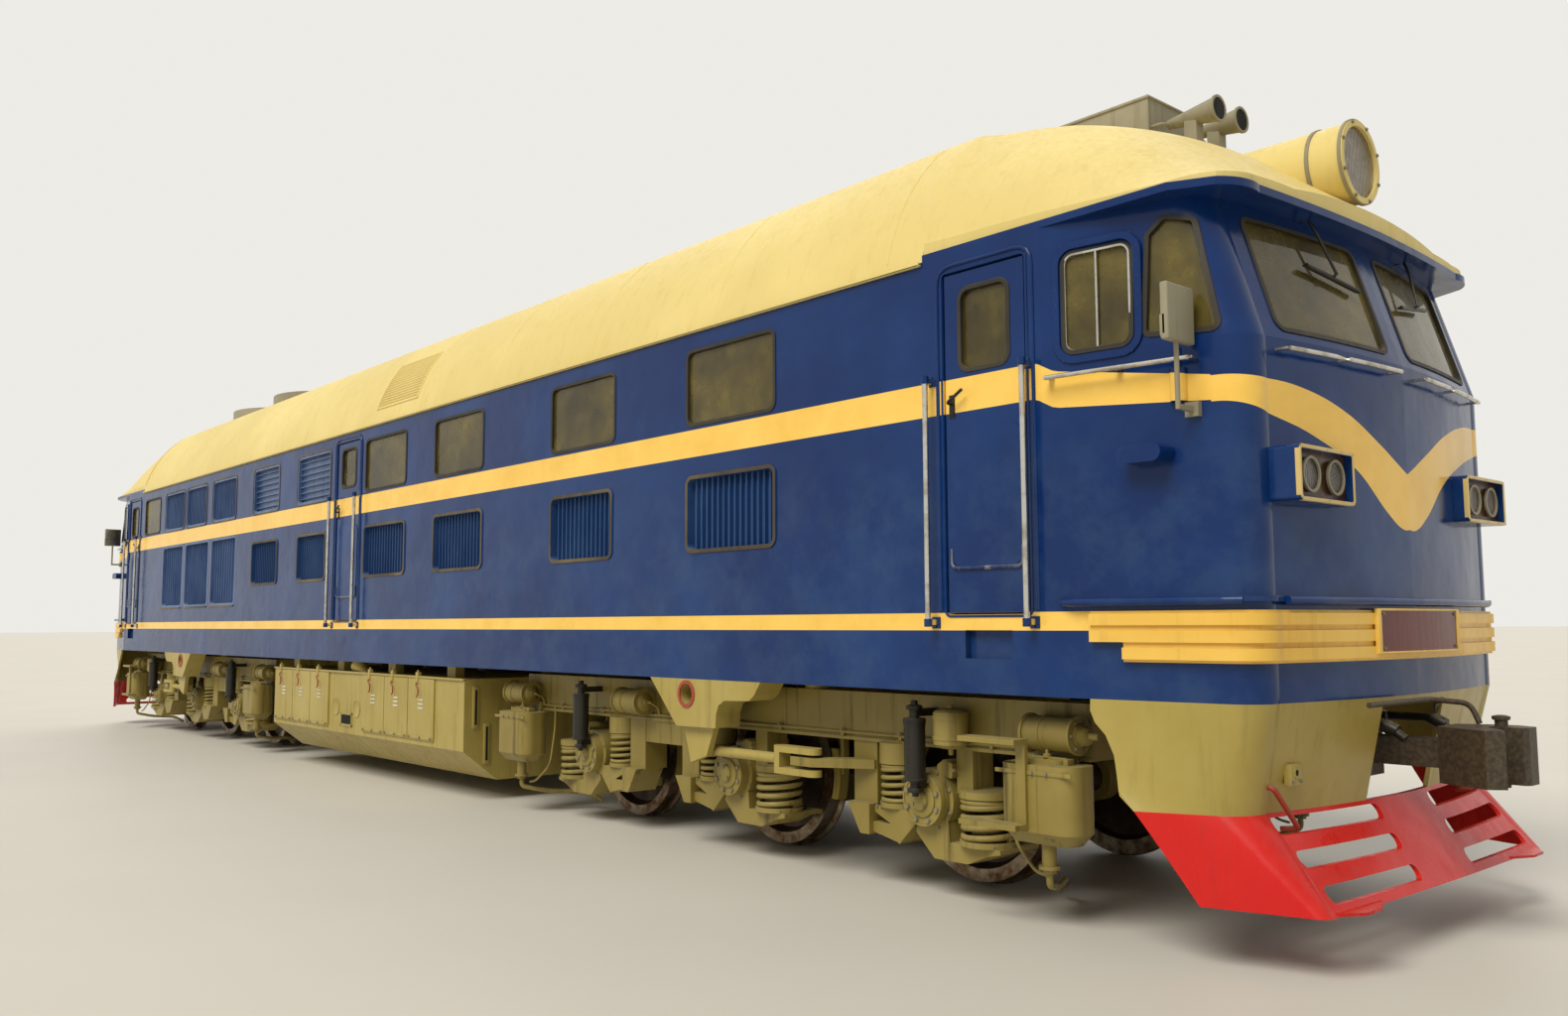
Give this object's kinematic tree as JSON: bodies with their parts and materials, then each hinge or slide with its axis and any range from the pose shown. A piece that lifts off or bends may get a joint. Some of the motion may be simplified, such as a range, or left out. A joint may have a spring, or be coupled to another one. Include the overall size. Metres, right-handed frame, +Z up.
{
  "type": "diesel electric locomotive",
  "caption": "Diesel locomotive with a cab at each end, arched roof with domed ends, louvred sides, three-axle bogies, side tank, steel ploughs and knuckle couplers.",
  "frame": {"origin": "middle of the locomotive, at the height of the wheel flange tips, 28 mm below the rail top", "axes": "+X along the track toward cab 1, -Y toward its right-hand side, +Z up"},
  "size_m": [21.1, 3.4, 4.7548],
  "materials": {
    "belt_yellow": "gloss enamel",
    "body_blue": "gloss enamel, faded in places",
    "bogie_paint": "satin olive tan paint, dusty and oily",
    "bright_rail": "polished tube",
    "cab_lining": "pale green lining paint",
    "cast_steel": "dark primer",
    "damper_black": "black enamel",
    "engine_paint": "grey green paint",
    "fan_metal": "cast blades, dusty",
    "lamp_glass": "clear lens",
    "lamp_metal": "dulled plating",
    "plough_red": "gloss red enamel",
    "roof_cream": "satin paint, dusty",
    "roof_grey": "matt grey paint, dusty",
    "seal_rubber": "aged black rubber",
    "seat_cover": "dark brown seat cover",
    "skirt_paint": "satin olive tan paint",
    "underframe_paint": "satin olive tan paint, dusty",
    "wheel_steel": "rolled steel, rust film, worn tread",
    "window_glass": "clear, dusty"
  },
  "bodies": {
    "body": {"bulkheads": "cab_lining", "cab_1_shell": "body_blue", "cab_2_shell": "body_blue", "cab_desks": "cab_lining", "cab_seats": "seat_cover", "couplers": "cast_steel", "engine_block": "engine_paint", "fan_cowls": "roof_grey", "front_belts": "belt_yellow", "fuel_tank": "underframe_paint", "glazing": "window_glass", "handrails": "bright_rail", "headlamps": "lamp_metal", "lamp_lenses": "lamp_glass", "lifting_brackets": "underframe_paint", "marker_lamps": "body_blue", "mirrors": "roof_grey", "pivots": "underframe_paint", "ploughs": "plough_red", "radiator_shutters": "body_blue", "roof_hatches": "roof_cream", "roof_horns": "roof_grey", "roof_shell": "roof_cream", "side_wall_left": "body_blue", "side_wall_right": "body_blue", "skirts": "skirt_paint", "traction_rods": "underframe_paint", "underframe": "underframe_paint", "window_louvres": "body_blue", "window_seals": "seal_rubber"},
    "bogie_1": {"bogie_1_axleboxes": "bogie_paint", "bogie_1_brakes": "bogie_paint", "bogie_1_dampers": "damper_black", "bogie_1_frame": "bogie_paint", "bogie_1_motors": "bogie_paint", "bogie_1_sandboxes": "bogie_paint", "bogie_1_springs": "bogie_paint"},
    "bogie_2": {"bogie_2_axleboxes": "bogie_paint", "bogie_2_brakes": "bogie_paint", "bogie_2_dampers": "damper_black", "bogie_2_frame": "bogie_paint", "bogie_2_motors": "bogie_paint", "bogie_2_sandboxes": "bogie_paint", "bogie_2_springs": "bogie_paint"},
    "cooling_fan_1": {"cooling_fan_1": "fan_metal"},
    "cooling_fan_2": {"cooling_fan_2": "fan_metal"},
    "door_cab_1_left": {"door_cab_1_left": "body_blue"},
    "door_cab_1_right": {"door_cab_1_right": "body_blue"},
    "door_cab_2_left": {"door_cab_2_left": "body_blue"},
    "door_cab_2_right": {"door_cab_2_right": "body_blue"},
    "door_mid_left": {"door_mid_left": "body_blue"},
    "door_mid_right": {"door_mid_right": "body_blue"},
    "wheelset_1": {"wheelset_1": "wheel_steel"},
    "wheelset_2": {"wheelset_2": "wheel_steel"},
    "wheelset_3": {"wheelset_3": "wheel_steel"},
    "wheelset_4": {"wheelset_4": "wheel_steel"},
    "wheelset_5": {"wheelset_5": "wheel_steel"},
    "wheelset_6": {"wheelset_6": "wheel_steel"}
  },
  "joints": [
    {"name": "bogie_1_swivel", "type": "hinge", "parent": "body", "child": "bogie_1", "pos_m": [6, 0, 1.12], "axis": [0, 0, 1], "range_deg": [-2.5, 2.5]},
    {"name": "bogie_2_swivel", "type": "hinge", "parent": "body", "child": "bogie_2", "pos_m": [-6, 0, 1.12], "axis": [0, 0, 1], "range_deg": [-2.5, 2.5]},
    {"name": "wheelset_1_axle", "type": "hinge", "parent": "bogie_1", "child": "wheelset_1", "pos_m": [7.8, 0, 0.553], "axis": [0, 1, 0], "continuous": true},
    {"name": "wheelset_2_axle", "type": "hinge", "parent": "bogie_1", "child": "wheelset_2", "pos_m": [6, 0, 0.553], "axis": [0, 1, 0], "continuous": true},
    {"name": "wheelset_3_axle", "type": "hinge", "parent": "bogie_1", "child": "wheelset_3", "pos_m": [4.2, 0, 0.553], "axis": [0, 1, 0], "continuous": true},
    {"name": "wheelset_4_axle", "type": "hinge", "parent": "bogie_2", "child": "wheelset_4", "pos_m": [-4.2, 0, 0.553], "axis": [0, 1, 0], "continuous": true},
    {"name": "wheelset_5_axle", "type": "hinge", "parent": "bogie_2", "child": "wheelset_5", "pos_m": [-6, 0, 0.553], "axis": [0, 1, 0], "continuous": true},
    {"name": "wheelset_6_axle", "type": "hinge", "parent": "bogie_2", "child": "wheelset_6", "pos_m": [-7.8, 0, 0.553], "axis": [0, 1, 0], "continuous": true},
    {"name": "door_cab_1_right_hinge", "type": "hinge", "parent": "body", "child": "door_cab_1_right", "pos_m": [8.795, -1.478, 2.568], "axis": [0, 0, -1], "range_deg": [0, 90]},
    {"name": "door_cab_1_left_hinge", "type": "hinge", "parent": "body", "child": "door_cab_1_left", "pos_m": [8.795, 1.478, 2.568], "axis": [0, 0, 1], "range_deg": [0, 90]},
    {"name": "door_mid_right_hinge", "type": "hinge", "parent": "body", "child": "door_mid_right", "pos_m": [0.165, -1.478, 2.568], "axis": [0, 0, -1], "range_deg": [0, 90]},
    {"name": "door_mid_left_hinge", "type": "hinge", "parent": "body", "child": "door_mid_left", "pos_m": [0.165, 1.478, 2.568], "axis": [0, 0, 1], "range_deg": [0, 90]},
    {"name": "door_cab_2_right_hinge", "type": "hinge", "parent": "body", "child": "door_cab_2_right", "pos_m": [-8.795, -1.478, 2.568], "axis": [0, 0, 1], "range_deg": [0, 90]},
    {"name": "door_cab_2_left_hinge", "type": "hinge", "parent": "body", "child": "door_cab_2_left", "pos_m": [-8.795, 1.478, 2.568], "axis": [0, 0, -1], "range_deg": [0, 90]},
    {"name": "cooling_fan_1_spin", "type": "hinge", "parent": "body", "child": "cooling_fan_1", "pos_m": [-4.6, 0, 4.588], "axis": [0, 0, 1], "continuous": true},
    {"name": "cooling_fan_2_spin", "type": "hinge", "parent": "body", "child": "cooling_fan_2", "pos_m": [-6.3, 0, 4.588], "axis": [0, 0, 1], "continuous": true}
  ]
}
